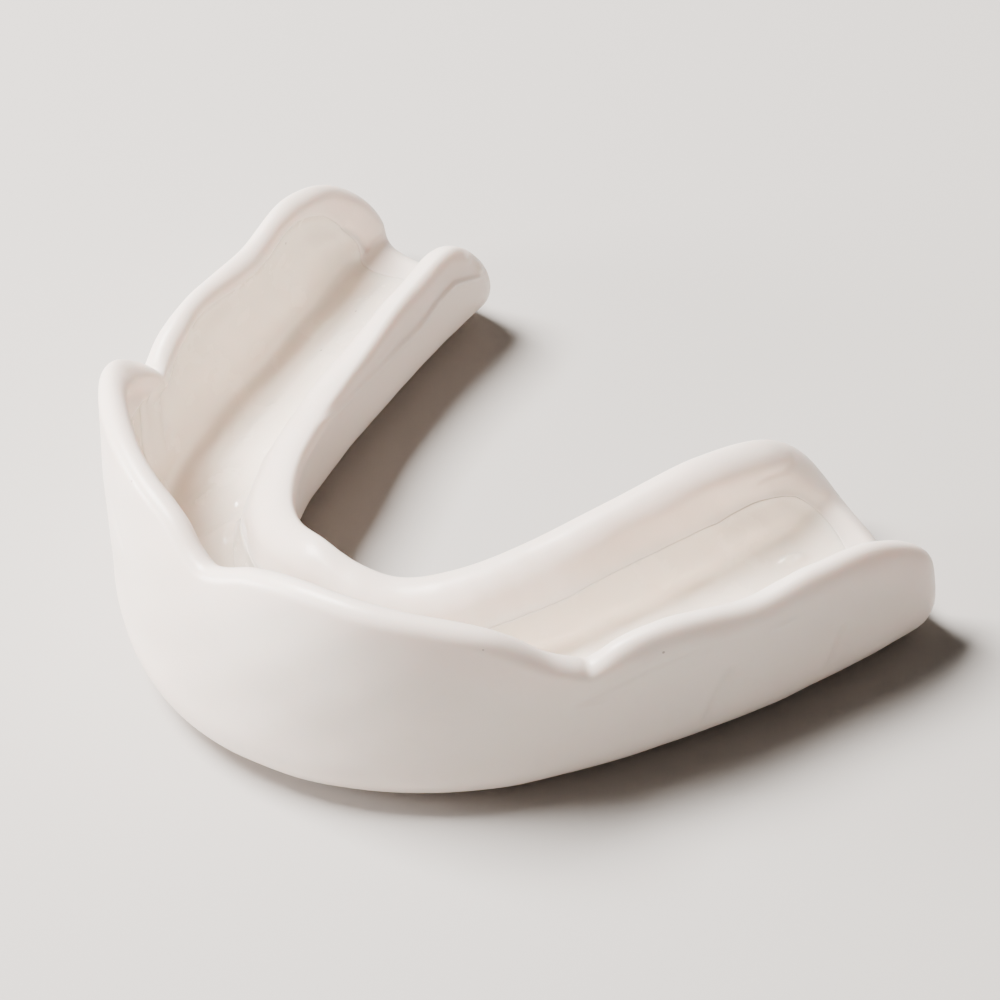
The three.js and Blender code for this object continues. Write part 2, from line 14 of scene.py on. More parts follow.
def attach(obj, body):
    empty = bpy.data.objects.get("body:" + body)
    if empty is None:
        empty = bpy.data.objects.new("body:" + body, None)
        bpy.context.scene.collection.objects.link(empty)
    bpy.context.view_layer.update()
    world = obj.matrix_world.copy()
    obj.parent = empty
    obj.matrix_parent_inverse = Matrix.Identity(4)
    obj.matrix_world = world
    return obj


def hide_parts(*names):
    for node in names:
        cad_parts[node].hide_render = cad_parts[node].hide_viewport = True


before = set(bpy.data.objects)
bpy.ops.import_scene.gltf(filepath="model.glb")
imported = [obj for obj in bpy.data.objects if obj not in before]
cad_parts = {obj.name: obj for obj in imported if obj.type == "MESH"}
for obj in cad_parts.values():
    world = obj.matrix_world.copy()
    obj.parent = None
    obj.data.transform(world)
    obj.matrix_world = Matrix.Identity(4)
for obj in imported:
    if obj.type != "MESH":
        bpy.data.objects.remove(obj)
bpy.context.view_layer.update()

# ---- dimensions ------------------------------------------------------------------------------
# curvature: 1/mm at CURVATURE_AT. The other lists are at SECTION_AT, "out" for the cheek side
# and "in" for the tongue side: flat floor width, length of the bend, angle of the wall after
# the bend (radians), and flare, the further turn per mm up the wall.
# trim: the edge as (along, across), from the front of the cheek wall round the rear end to the
# front of the tongue wall; along is measured away from the front on both halves.
RIGHT = {
    "curvature": [0.0533, 0.0517, 0.047, 0.0278, 0.0086, 0.0109, 0.0008],
    "floor_out": [3.36, 2.77, 2.5, 2.57, 2.03],
    "bend_out": [7.7, 7.6, 7.48, 7.26, 6.68],
    "rise_out": [1.673, 1.562, 1.511, 1.546, 1.523],
    "flare_out": [0.029, 0.013, 0, -0.003, -0.002],
    "floor_in": [0.8, 0.8, 0.8, 0.8, 0.82],
    "bend_in": [3.6, 4.4, 6, 9.22, 12.56],
    "rise_in": [1.367, 1.336, 1.31, 1.452, 1.586],
    "trim": [
        (0, 22.78), (1.13, 23.16), (3.57, 24.46), (7.97, 25.33), (13.3, 24.52),
        (19.15, 22.17), (22.64, 18.49), (24.13, 17.4), (24.68, 16.95), (25.11, 17.09),
        (26.8, 18), (30, 18.35), (33.2, 17.8), (37.08, 16.92), (42.05, 17.15),
        (47.2, 15.9), (51.6, 11.6), (51.97, 7.02), (51.77, 3.96), (52.03, 0.66),
        (52.46, -3.34), (52.01, -8.15), (49.99, -12.82), (46.61, -15.8), (39.99, -16.87),
        (31.74, -15.58), (23.75, -14), (15.82, -12.78), (10.01, -12.2), (5.21, -12.73),
        (0, -13.52),
    ],
}
LEFT = {
    "curvature": [0.0541, 0.0559, 0.0509, 0.0298, 0.0026, 0.0118, 0.0021],
    "floor_out": [3.36, 2.76, 2.71, 2.24, 1.69],
    "bend_out": [7.7, 7.68, 7.65, 7.04, 6.43],
    "rise_out": [1.673, 1.575, 1.5, 1.562, 1.549],
    "flare_out": [0.029, 0.016, 0.001, -0.003, -0.001],
    "floor_in": [0.8, 0.8, 0.8, 0.8, 0.8],
    "bend_in": [3.6, 4.4, 5.63, 8.85, 11.96],
    "rise_in": [1.367, 1.335, 1.327, 1.594, 1.647],
    "trim": [
        (0, 22.78), (1.12, 23.16), (3.61, 24.51), (7.96, 25.03), (13.17, 24.79),
        (18.12, 23.37), (21.85, 19.3), (23.41, 16.88), (23.67, 16.31), (24.02, 16.58),
        (25.8, 17.5), (29.4, 18.05), (32.8, 17.6), (37, 17.02), (42.21, 17.38),
        (46.74, 15.08), (50.44, 10.38), (51.55, 6.97), (51.04, 3.69), (50.65, 0.39),
        (50.25, -3.38), (49.85, -7.6), (48.8, -11.6), (46.2, -14.35), (40.08, -13.75),
        (31.8, -12.6), (23.76, -12.85), (15.9, -12.4), (10.09, -12.14), (5.21, -12.73),
        (0, -13.52),
    ],
}
CURVATURE_AT = np.array([0, 7, 14, 22, 32, 44, 58.0])
SECTION_AT = np.array([0, 12, 24, 38, 52.0])

SPANS = len(RIGHT["trim"]) - 1  # spans between trim points on one half
LOOP = 2 * SPANS
NOTCH = 8  # trim point at the bottom of the cheek notch
CORNER_OUT, CORNER_IN = 15.62, 22.35  # places in the trim list where the rear end starts and stops

# width of the bare shell rim beside the liner, one value per trim point
BAND = np.array([
    3, 3, 3, 3, 3.6, 4.9, 3, 2, 1.55, 1.35, 1.3, 1.35, 1.6, 1.75, 1.7, 2.3,
    3.4, 3.9, 3.9, 3.4, 3.2, 3.2, 3.3, 4.2, 5, 4.4, 4.2, 4, 3.9, 3.8, 3.8])

SHIFT = np.array((-1.036993, -15.830544, 0.0))  # from the arch's frame to the object's
FLOOR_THICKNESS, CHEEK_WALL, TONGUE_WALL = 3.6, 2.3, 2.8
HALF_FLOOR = FLOOR_THICKNESS / 2
RAMP = 1.1  # extra height of the channel floor towards the tongue side
TONGUE_FILL = 0.9  # extra fill in the tongue-side bend at the front
LINER_THICKNESS, LINER_WALL, BOND_GAP = 1.6, 1.25, 0.12
# how far the liner face lies below the shell rim, by side, and the share left at the block
STEP_CHEEK, STEP_TONGUE, STEP_SHARE = 0.05, -0.02, 0.75
CHEEK_ROUND, LEG_ROUND_OUT, TONGUE_ROUND_OUT, TONGUE_ROUND_IN = 1.15, 2.5, 1.3, 2.0
TONGUE_RIDGE = 0.45  # offset of the tongue edge from mid wall, as a share of half the wall
LIP, LINER_ROUND = 0.045, 0.05  # edge roundings where shell and liner meet
LINER_CLEARANCE = 0.012
EDGE_TO_BLOCK = 0.75
BLOCK_LENGTH, BLOCK_WIDTH = 102.4, 27.2544  # nominal size used to fade the liner's step
STEP_FADE = 3.0

TABLE_STEP = 0.05
TABLE_AT = np.arange(0, 70.01, TABLE_STEP)
BEND_STEPS = 28
BEAD_ANGLES = np.radians([12, 24, 36, 48, 60, 70, 80, 90])
LIP_ANGLES = np.radians([0, 22, 45, 67, 90])


# ---- curves ----------------------------------------------------------------------------------
def ease(x):
    x = np.clip(x, 0, 1)
    return x * x * x * (10 - 15 * x + 6 * x * x)


def mix(start, end, share):
    return start + (end - start) * share


def bell(x):
    return np.exp(-(x ** 2))


def hermite(start, end, start_slope, end_slope, x):
    return ((1 + 2 * x) * (1 - x) ** 2 * start + x * (1 - x) ** 2 * start_slope
            + x * x * (3 - 2 * x) * end + x * x * (x - 1) * end_slope)


def curve_through(stations, values, x):
    """Smooth curve through values mirrored about station 0, straight past the last station."""
    values = np.array(values, float)
    knots = np.r_[-stations[:0:-1], stations]
    levels = np.r_[values[:0:-1], values]
    gap = np.diff(knots)
    chord = np.diff(levels) / gap
    slope = np.zeros(len(knots))
    slope[1:-1] = (chord[:-1] * gap[1:] + chord[1:] * gap[:-1]) / (gap[:-1] + gap[1:])
    slope[0], slope[-1] = chord[0], chord[-1]
    i = np.clip(np.searchsorted(knots, x, side="right") - 1, 0, len(knots) - 2)
    share = (x - knots[i]) / gap[i]
    inside = hermite(levels[i], levels[i + 1], gap[i] * slope[i], gap[i] * slope[i + 1],
                     np.clip(share, 0, 1))
    return inside + np.where(share > 1, (share - 1) * gap[i] * slope[-1], 0)


def running_sum(steps):
    return np.r_[0, np.cumsum(steps)]


def half_tables(half):
    """Heading and place of the arch, and the section values, at every TABLE_AT."""
    curvature = np.maximum(curve_through(CURVATURE_AT, half["curvature"], TABLE_AT), -0.02)
    turn = running_sum((curvature[1:] + curvature[:-1]) / 2 * TABLE_STEP)
    heading = (turn[1:] + turn[:-1]) / 2
    tables = {
        "turn": turn,
        "x": running_sum(np.cos(heading) * TABLE_STEP),
        "y": running_sum(np.sin(heading) * TABLE_STEP),
    }
    for name, values in half.items():
        if name not in ("curvature", "trim"):
            tables[name] = curve_through(SECTION_AT, values, TABLE_AT)
    return tables


RIGHT_TABLES, LEFT_TABLES = half_tables(RIGHT), half_tables(LEFT)


def look(name, along):
    distance = np.abs(along)
    return np.where(along >= 0, np.interp(distance, TABLE_AT, RIGHT_TABLES[name]),
                    np.interp(distance, TABLE_AT, LEFT_TABLES[name]))


def by_side(name, along, across):
    return np.where(across >= 0, look(name + "_out", along), look(name + "_in", along))


# ---- the folded sheet ------------------------------------------------------------------------
def wall_shape(along, across):
    """Floor width, bend length, rise and flare of the section at a sheet position."""
    floor, bend, rise = (by_side(name, along, across) for name in ("floor", "bend", "rise"))
    return floor, bend, rise, np.where(across >= 0, look("flare_out", along), 0)


def middle(along, across):
    """Point of the middle surface, by adding up short steps across the section."""
    floor, bend, rise, flare = wall_shape(along, across)
    distance = np.abs(across)
    outward, z = np.zeros_like(distance), np.zeros_like(distance)
    for i in range(BEND_STEPS):
        here = distance * (i + 0.5) / BEND_STEPS
        angle = rise * ease((here - floor) / bend) + flare * np.maximum(here - floor - bend, 0)
        outward += np.cos(angle)
        z += np.sin(angle)
    outward *= np.where(across >= 0, 1, -1) * distance / BEND_STEPS
    z *= distance / BEND_STEPS
    turn = look("turn", along)
    x = (look("x", along) + outward * np.sin(turn)) * np.where(along >= 0, 1.0, -1.0)
    return np.stack([x, look("y", along) - outward * np.cos(turn), z + HALF_FLOOR], -1)


def away(along, across, step=0.02):
    """Unit normal of the middle surface, pointing away from the channel."""
    normal = np.cross(middle(along + step, across) - middle(along - step, across),
                      middle(along, across + step) - middle(along, across - step))
    return normal / np.linalg.norm(normal, axis=-1, keepdims=True)


def to_channel(along, across):
    """Unit direction into the channel; it turns over a longer bend than the sheet does."""
    floor, bend, rise, flare = wall_shape(along, across)
    distance = np.abs(across)
    start = np.maximum(0, floor - 2)
    length = bend + (floor - start) + 3
    angle = rise * ease((distance - start) / length)
    angle = angle + flare * np.maximum(distance - floor - bend, 0)
    outward = np.where(across >= 0, -1, 1) * np.sin(angle)
    turn = look("turn", along)
    return np.stack([outward * np.sin(turn) * np.where(along >= 0, 1.0, -1.0),
                     -outward * np.cos(turn), np.cos(angle)], -1)


def past_floor(along, across):
    return np.abs(across) - by_side("floor", along, across)


def half_thickness(along, across, tongue_fade):
    past = past_floor(along, across)
    return np.where(across >= 0, mix(HALF_FLOOR, CHEEK_WALL / 2, ease(past / 12)),
                    mix(HALF_FLOOR, TONGUE_WALL / 2, ease(past / tongue_fade)))


def channel_depth(along, across):
    ramp = RAMP * ease((3 - across) / 9) * (1 - ease((-across - 7) / 7.5))
    fill = TONGUE_FILL * bell((-across - 5) / 2.6) * (1 - ease((np.abs(along) - 8) / 14))
    return ramp + half_thickness(along, across, 9) + np.where(across >= 0, 0, fill)


def liner_depth(along, across):
    return mix(LINER_THICKNESS, LINER_WALL, ease(past_floor(along, across) / 8))


def step_at(across):
    return mix(STEP_TONGUE, STEP_CHEEK, ease((across + 7) / 10))


# ---- trim line: closed centripetal spline through the trim points of both halves -------------
KNOTS = np.array(RIGHT["trim"] + [(-along, across) for along, across in LEFT["trim"][-2:0:-1]],
                 float)


def rim_at(index):
    """Sheet position at a fractional place in KNOTS."""
    index = np.asarray(index, float) % LOOP
    i = np.floor(index).astype(int) % LOOP
    share = (index - np.floor(index))[..., None]
    before, start, end, after = (KNOTS[(i + k) % LOOP] for k in (-1, 0, 1, 2))

    def root_gap(one, two):
        return np.sqrt(np.linalg.norm(two - one, axis=-1, keepdims=True))

    gap0, gap1, gap2 = root_gap(before, start), root_gap(start, end), root_gap(end, after)
    chord = (end - start) / gap1
    slope0 = ((start - before) / gap0 - (end - before) / (gap0 + gap1) + chord) * gap1
    slope1 = (chord - (after - start) / (gap1 + gap2) + (after - end) / gap2) * gap1
    return hermite(start, end, slope0, slope1, share)


def unit(vectors):
    return vectors / np.linalg.norm(vectors, axis=-1, keepdims=True)


def inward_table(samples=2400, smooth_over=1.3):
    """Directions into the sheet at evenly spaced rim places, averaged along the rim."""
    dense_index = np.linspace(0, LOOP, 12001)
    run = running_sum(np.linalg.norm(np.diff(rim_at(dense_index), axis=0), axis=1))
    index = np.interp(np.arange(samples) * run[-1] / samples, run, dense_index)
    tangent = rim_at(index + 0.01) - rim_at(index - 0.01)
    inward = unit(np.stack([tangent[:, 1], -tangent[:, 0]], -1))
    window = int(round(smooth_over / (run[-1] / samples)))
    for _ in range(2):
        inward = unit(sum(np.roll(inward, -k, axis=0) for k in range(-window, window + 1)))
    return np.r_[index, LOOP], np.vstack([inward, inward[:1]])


INWARD_INDEX, INWARD = inward_table()


def inward_at(index):
    return unit(np.stack([np.interp(index % LOOP, INWARD_INDEX, INWARD[:, i])
                          for i in (0, 1)], -1))


def band_at(index):
    index = np.where(index > SPANS, LOOP - index, index)
    return np.interp(index, np.arange(SPANS + 1), BAND)


# ---- layout of the mesh on the sheet ---------------------------------------------------------
def half_samples(right, columns, rows):
    """Rim places on one half: along the cheek, the rear end and the tongue, in that order."""
    notch = (RIGHT if right else LEFT)["trim"][NOTCH][0]

    def point(index):
        return rim_at(index if right else LOOP - index) * [1 if right else -1, 1]

    def closer_at_details(along):
        """More columns at the front, at the notch and near the rear."""
        return (1 + 2.2 * bell(along / 2.4) + 1.6 * bell((along - notch) / 3.2)
                + 0.6 * bell((along - 49) / 3))

    def split(start, end, cells, weight):
        index = np.linspace(start, end, 3001)
        line = point(index)
        length = np.linalg.norm(np.diff(line, axis=0), axis=1)
        run = running_sum(length * weight((line[1:, 0] + line[:-1, 0]) / 2))
        places = np.interp(np.linspace(0, run[-1], cells + 1), run, index)
        places[0], places[-1] = start, end
        return places

    cheek = split(0, CORNER_OUT, columns // 2, closer_at_details)
    rear = split(CORNER_OUT, CORNER_IN, rows, np.ones_like)
    # the tongue columns stand opposite the cheek columns
    cheek_along = point(cheek)[:, 0]
    index = np.linspace(CORNER_IN, SPANS, 6001)
    tongue_along = point(index)[:, 0]
    target = cheek_along * tongue_along[0] / cheek_along[-1]
    tongue = np.interp(-target, -tongue_along, index)
    tongue[0], tongue[-1] = SPANS, CORNER_IN
    return cheek, rear, tongue[::-1]


class Layout:
    """Sheet positions: rays from the trim line inwards, then a block of columns and rows.

    The ring of rays starts at the rear of the left cheek edge and first runs to the right.
    """

    def __init__(self, columns, rows):
        self.columns, self.rows = columns, rows
        cheek, rear, tongue = half_samples(True, columns, rows)
        left_parts = half_samples(False, columns, rows)
        left_cheek, left_rear, left_tongue = (LOOP - part[:0:-1] for part in left_parts)
        index = np.concatenate([left_cheek, cheek[:-1], rear[:-1], tongue[:-1],
                                left_tongue, left_rear])
        self.count = len(index)
        self.outline = rim_at(index)
        inner = self.outline + inward_at(index) * (band_at(index) + EDGE_TO_BLOCK)[:, None]
        # the smoothing reaches equally far at any density
        for _ in range(max(1, int(round(6 * (columns / 64) ** 2)))):
            inner = (2 * inner + np.roll(inner, 1, axis=0) + np.roll(inner, -1, axis=0)) / 4
        self.inner = inner
        self.reach = np.linalg.norm(inner - self.outline, axis=1)
        self.band = np.minimum(band_at(index), self.reach - 0.85 * EDGE_TO_BLOCK)
        self.set_rounding()
        self.set_block()

    def set_rounding(self):
        """Edge roundings, blended from the tongue wall to the cheek wall and out to the legs."""
        cheek = ease((self.outline[:, 1] + 8) / 14)
        leg = ease((np.abs(self.outline[:, 0]) - 24) / 7)
        outer = mix(TONGUE_ROUND_OUT, mix(CHEEK_ROUND, LEG_ROUND_OUT, leg), cheek)
        self.round_out = np.minimum(outer, 0.88 * self.reach)
        self.round_in = np.minimum(mix(TONGUE_ROUND_IN, CHEEK_ROUND, cheek), 0.85 * self.band)
        self.ridge = mix(TONGUE_RIDGE * TONGUE_WALL / 2, 0, cheek)

    def edges(self, ring):
        """Ring values along the cheek, tongue, left and right edges of the block."""
        columns, rows = self.columns, self.rows
        cheek = ring[:columns + 1]
        tongue = ring[columns + rows:2 * columns + rows + 1][::-1]
        left = ring[(self.count - np.arange(rows + 1)) % self.count]
        right = ring[columns:columns + rows + 1]
        return cheek, tongue, left, right

    def set_block(self):
        cheek, tongue, left, right = self.edges(self.inner)
        u = np.arange(self.columns + 1)[:, None, None] / self.columns
        v = np.arange(self.rows + 1)[None, :, None] / self.rows

        def fade(x):
            return np.maximum(0, 1 - x / 0.22) ** 2

        block = mix(cheek[:, None], tongue[:, None], v)
        block = (block + (left[None] - mix(left[0], left[-1], v[0])[None]) * fade(u)
                 + (right[None] - mix(right[0], right[-1], v[0])[None]) * fade(1 - u))
        block[:, 0], block[:, -1], block[0], block[-1] = cheek, tongue, left, right
        self.block = block[..., 0], block[..., 1]

    def inset(self, distance):
        """Sheet positions at a distance in from the trim line."""
        share = (distance / self.reach)[:, None]
        place = self.outline + (self.inner - self.outline) * share
        return place[:, 0], place[:, 1]


# ---- surface relief, height above the smooth face --------------------------------------------
def near_line(along, across, points):
    """Distance to a polyline, position along it 0..1, and the side (+ left of travel)."""
    nearest = np.full(along.shape, 1e9)
    position, side = np.zeros(along.shape), np.zeros(along.shape)
    points = np.array(points, float)
    lengths = np.linalg.norm(np.diff(points, axis=0), axis=1)
    done = 0.0
    for start, end, length in zip(points[:-1], points[1:], lengths):
        run_x, run_y = (end - start) / length
        run = (along - start[0]) * run_x + (across - start[1]) * run_y
        run = np.clip(run, 0, length)
        x, y = along - start[0] - run * run_x, across - start[1] - run * run_y
        distance = np.hypot(x, y)
        closer = distance < nearest
        nearest = np.where(closer, distance, nearest)
        position = np.where(closer, (done + run) / lengths.sum(), position)
        side = np.where(closer, run_x * y - run_y * x, side)
        done += length
    return nearest, position, side


def wave(along, across, direction, phase, height, length):
    travel = along * math.cos(direction) + across * math.sin(direction)
    return height * np.sin(2 * np.pi * travel / length + phase)


def line(along, across, width, height, taper, points):
    """A raised (or, with a negative height, sunk) line with tapering ends."""
    distance, position, _ = near_line(along, across, points)
    end = ease(np.minimum(position, 1 - position) / taper + 0.25)
    return height * bell(distance / width) * end


def fold(along, across, width, reach, height, points):
    """The left of the line is raised and the right sunk, fading over reach."""
    distance, position, side = near_line(along, across, points)
    end = ease(np.minimum(position, 1 - position) / 0.2)
    return height * end * np.tanh(side / width) * bell(distance / reach)


def bump(along, across, centre, size, height, turn):
    x, y = along - centre[0], across - centre[1]
    cosine, sine = math.cos(turn), math.sin(turn)
    u, v = (x * cosine + y * sine) / size[0], (-x * sine + y * cosine) / size[1]
    return height * np.exp(-((u * u + v * v) ** 1.5))


def marks_height(along, across, marks):
    return sum(shape(along, across, *values)
               for shape, table in marks.items() for values in table)


CREASE_NEAR = ((31.9, 7.5), (33.2, 9.8), (34.7, 12.2))
CREASE_REAR = ((41.7, 7.3), (42.6, 9.1), (43.7, 11.0))
OUTER_MARKS = {
    # direction, phase, height, wave length: slow unevenness of the moulded sheet
    wave: (
        (0.3, 1.0, 0.022, 9.0), (1.2, 2.2, 0.02, 6.4),
        (2.3, 0.4, 0.014, 4.3), (0.8, 4.1, 0.008, 2.7),
    ),
    # width, height, taper, points
    line: (
        # parting line on the tongue face of the left and right legs
        (0.26, 0.2, 0.06, ((-48.6, -10.2), (-44.8, -11.5), (-42.2, -11.0), (-39.4, -10.0),
                           (-34.1, -10.1), (-28.1, -11.1), (-21, -13.4))),
        (0.25, 0.08, 0.1, ((46.0, -10.8), (38.0, -10.4), (28.0, -11.2), (20.0, -12.6))),
        # short groove on the left of the tongue face
        (0.35, -0.12, 0.2, ((-16.8, -8.2), (-16.1, -9.2), (-15.6, -10.6))),
        # creases and faint lines of the cheek wall
        (0.36, -0.3, 0.2, CREASE_NEAR),
        (0.34, -0.28, 0.2, CREASE_REAR),
        (0.3, -0.07, 0.3, ((22.3, 13.3), (25.3, 14.4), (28.5, 15.3), (32.2, 15.5))),
        (0.25, 0.07, 0.2, ((38.0, 14.1), (40.0, 14.0))),
        (0.22, 0.06, 0.2, ((24.1, 13.3), (25.4, 13.1))),
        (0.3, -0.09, 0.2, ((-10.3, 20.0), (-8.9, 18.6), (-7.4, 17.5))),
    ),
    # width, reach, height, points
    fold: (
        (0.3, 2.0, 0.05, ((-48.6, -10.4), (-44.8, -11.7), (-39.4, -10.2), (-28.1, -11.3),
                          (-21, -13.6))),
        (0.35, 1.6, 0.1, CREASE_NEAR),
        (0.35, 1.5, 0.1, CREASE_REAR),
    ),
    # centre, size, height, turn
    bump: (
        # raised spots at the rear tip of the left leg
        ((-47.3, -12.9), (0.5, 0.4), 0.28, 0.5),
        ((-48.3, -11.2), (0.4, 0.5), 0.24, 0.0),
        # a blob of flash by the cheek rim
        ((26.6, 20.6), (1.1, 0.5), 0.16, 0.1),
    ),
}

VALLEY = ((-47.5, 1.6), (-46, 1.8), (-35, 2.2), (-28, 3.0), (-21, 3.3), (-18, 4.7))
FRONT_FOLD = ((-15.0, 3.4), (-15.6, 2.3), (-16.9, 0.5), (-16.6, -2.4), (-15.2, -5.2),
              (-14.3, -7.6))
FLAP = ((-46.8, 11.0), (-47.8, 9.0), (-48.2, 7.9), (-48.5, 5.4))
CURL = ((-16.6, 23.2), (-19.1, 20.6), (-21.6, 18.0), (-23.4, 15.9))
CHANNEL_MARKS = {
    wave: (
        (0.5, 0.3, 0.04, 8.2), (1.35, 1.1, 0.035, 6.0),
        (2.1, 3.3, 0.024, 4.1), (2.8, 0.7, 0.012, 2.6),
    ),
    line: (
        # valley where the floor meets the cheek wall, sharp on the left leg, soft on the right
        (0.7, -0.16, 0.08, VALLEY),
        (1.4, -0.04, 0.1, ((48, 2.4), (40, 2.9), (31, 3.4), (24, 4.2), (18, 5.4))),
        # folds pressed into the left of the channel's front
        (0.45, -0.14, 0.15, FRONT_FOLD),
        (0.4, 0.14, 0.3, ((-17.8, -0.7), (-16.3, 0.1), (-14.1, 0.3))),
        (0.35, -0.12, 0.3, ((-12.1, -8.7), (-10, -8.8), (-8.3, -8.4))),
        (0.3, 0.12, 0.3, ((-18.5, 0.2), (-20.2, -0.6))),
        # scuff of the right tongue wall
        (0.28, -0.09, 0.2, ((43.9, -13.9), (44.9, -14.1), (47.3, -13.8), (49.9, -14.1))),
        # flap at the rear end of the left leg
        (0.35, -0.20, 0.15, FLAP),
        # curled edge beside the left cheek notch, with a groove next to it
        (0.55, 0.20, 0.2, CURL),
        (0.5, -0.16, 0.2, [(along + 0.9, across - 0.5) for along, across in CURL]),
        # grooves running down the wall from it
        (0.5, -0.12, 0.25, ((-20.4, 17.4), (-19.6, 14.6), (-18.2, 11.6))),
        (0.5, -0.10, 0.25, ((-23.4, 15.0), (-22.4, 12.3), (-21.4, 9.8))),
    ),
    fold: (
        (0.8, 3.4, 0.09, VALLEY[::-1]),
        (0.4, 1.9, 0.11, FRONT_FOLD),
        (0.3, 1.3, 0.12, FLAP),
    ),
    bump: (
        # vestige of the moulding gate near the rear of the right floor
        ((44.8, -3.1), (1.05, 0.55), 0.30, 0.35),
        ((44.9, -3.1), (0.45, 0.25), -0.16, 0.35),
        ((44.8, -3.1), (1.9, 1.2), -0.07, 0.35),
        # small kinks by the tongue rim
        ((-0.2, -15.2), (1.3, 1.0), -0.10, 0.0),
        ((7.8, -13.7), (1.3, 1.0), 0.12, 0.0),
        ((17.0, -14.2), (1.3, 1.0), 0.10, 0.0),
    ),
}

RIM_INDEX = np.arange(0, LOOP, 0.04)
RIM_LINE = rim_at(RIM_INDEX)
RIM_BAND = band_at(RIM_INDEX)


def nearest_rim(along, across, batch=4000):
    """Distance to the trim line and the rim band width there."""
    flat_along, flat_across = along.ravel(), across.ravel()
    distance, band = np.empty(along.size), np.empty(along.size)
    for first in range(0, along.size, batch):
        part = slice(first, first + batch)
        squared = ((flat_along[part, None] - RIM_LINE[:, 0]) ** 2
                   + (flat_across[part, None] - RIM_LINE[:, 1]) ** 2)
        distance[part] = np.sqrt(squared.min(1))
        band[part] = RIM_BAND[squared.argmin(1)]
    return distance.reshape(along.shape), band.reshape(along.shape)


def rim_recess(along, across):
    """Soft-edged hollow inside the cheek rim band, deepest on the left leg, and a faint
    raised line along the inner edge of the tongue rim band."""
    distance, band = nearest_rim(along, across)
    depth = 0.36 * ease((across - 2.0) / 5.0) * ease((np.abs(along) - 12) / 6)
    depth = depth * (0.55 + 0.45 * ease((-along - 16) / 6))
    inside = distance - (band - 0.35)
    hollow = depth * ease(inside / 1.15) * (1 - 0.9 * ease((inside - 1.6) / 6.0))
    tongue = 0.06 * (1 - ease((across + 9) / 5))
    return tongue * bell((distance - band) / 0.35) - hollow


def relief_outer(along, across):
    return marks_height(along, across, OUTER_MARKS) - 0.02


def relief_channel(along, across):
    height = marks_height(along, across, CHANNEL_MARKS)
    # the right floor rises beside its valley, with swells lying across it
    rise = 0.30 * bell((across - 3.0) / 3.6)
    height = height + rise * ease((along - 16) / 8) * ease((52 - along) / 8)
    swell = bell((across - 6.6) / 3.0) * ease((along - 14) / 5) * ease((50 - along) / 5)
    long_phase = (along + 0.55 * across + 0.9 * np.sin(along * 0.31)) / 4.7
    short_phase = (along - 0.3 * across) / 2.9
    height = height + 0.045 * swell * np.sin(2 * np.pi * long_phase)
    height = height + 0.02 * swell * np.sin(2 * np.pi * short_phase + 1.0)
    return 1.35 * height - 0.04 + rim_recess(along, across)


# ---- faces: rounding runs from 0 at mid wall to 1 on the full face ---------------------------
def outer_face(along, across, rounding=1.0):
    depth = half_thickness(along, across, 6)
    height = depth * rounding + relief_outer(along, across) * rounding
    points = middle(along, across) + away(along, across) * height[..., None]
    flat = (depth > HALF_FLOOR - 1e-6) & (rounding >= 1)
    points[..., 2] = np.where(flat, 0.0, np.maximum(points[..., 2], 0.0))
    return points


def channel_point(along, across, drop, rounding=1.0):
    """Point a drop below the smooth channel face."""
    height = channel_depth(along, across) * rounding - drop
    return middle(along, across) + to_channel(along, across) * height[..., None]


def channel_face(along, across, rounding=1.0, drop=0.0):
    drop = drop - relief_channel(along, across) * rounding
    return channel_point(along, across, drop, rounding)


# ---- meshes ----------------------------------------------------------------------------------
def rings(rows):
    """Closed band of quads through rows of points."""
    count = len(rows[0])
    here = np.arange(count)
    beside = (here + 1) % count
    first = np.stack([here, beside, beside + count, here + count], 1)
    return np.concatenate(rows), np.concatenate([first + j * count for j in range(len(rows) - 1)])


def grid(points):
    index = np.arange(points.shape[0] * points.shape[1]).reshape(points.shape[:2])
    corners = [index[:-1, :-1], index[1:, :-1], index[1:, 1:], index[:-1, 1:]]
    return points.reshape(-1, 3), np.stack(corners, -1).reshape(-1, 4)


def weld(parts, flipped_parts):
    """Join (points, quads) parts into one closed mesh whose faces point out."""
    parts = parts + [(points, quads[:, ::-1]) for points, quads in flipped_parts]
    starts = running_sum([len(points) for points, _ in parts]).astype(int)
    points = np.concatenate([part[0] for part in parts])
    quads = np.concatenate([part[1] + start for part, start in zip(parts, starts)])
    key = np.round(points / 1e-5).astype(np.int64)
    _, first, inverse = np.unique(key, axis=0, return_index=True, return_inverse=True)
    points, quads = points[first], inverse.ravel()[quads]
    one, two, three, four = (points[quads[:, i]] for i in range(4))
    volume = (np.einsum("ij,ij->i", one, np.cross(two, three))
              + np.einsum("ij,ij->i", one, np.cross(three, four))).sum()
    if volume < 0:
        quads = quads[:, ::-1]
    return points, quads


def to_metres(points):
    return (points + SHIFT) / 1000.0


def make_object(name, points, quads, material):
    # quads with welded corners become triangles or vanish
    faces = [list(dict.fromkeys(quad)) for quad in quads.tolist()]
    faces = [face for face in faces if len(face) >= 3]
    loops = [vertex for face in faces for vertex in face]
    starts = np.cumsum([0] + [len(face) for face in faces[:-1]])
    mesh = bpy.data.meshes.new(name)
    mesh.vertices.add(len(points))
    mesh.vertices.foreach_set("co", to_metres(points).astype(np.float32).ravel())
    mesh.loops.add(len(loops))
    mesh.loops.foreach_set("vertex_index", loops)
    mesh.polygons.add(len(faces))
    mesh.polygons.foreach_set("loop_start", starts.tolist())
    mesh.update(calc_edges=True)
    mesh.validate()
    mesh.polygons.foreach_set("use_smooth", [True] * len(mesh.polygons))
    mesh.materials.append(material)
    piece = bpy.data.objects.new(name, mesh)
    bpy.context.scene.collection.objects.link(piece)
    return piece


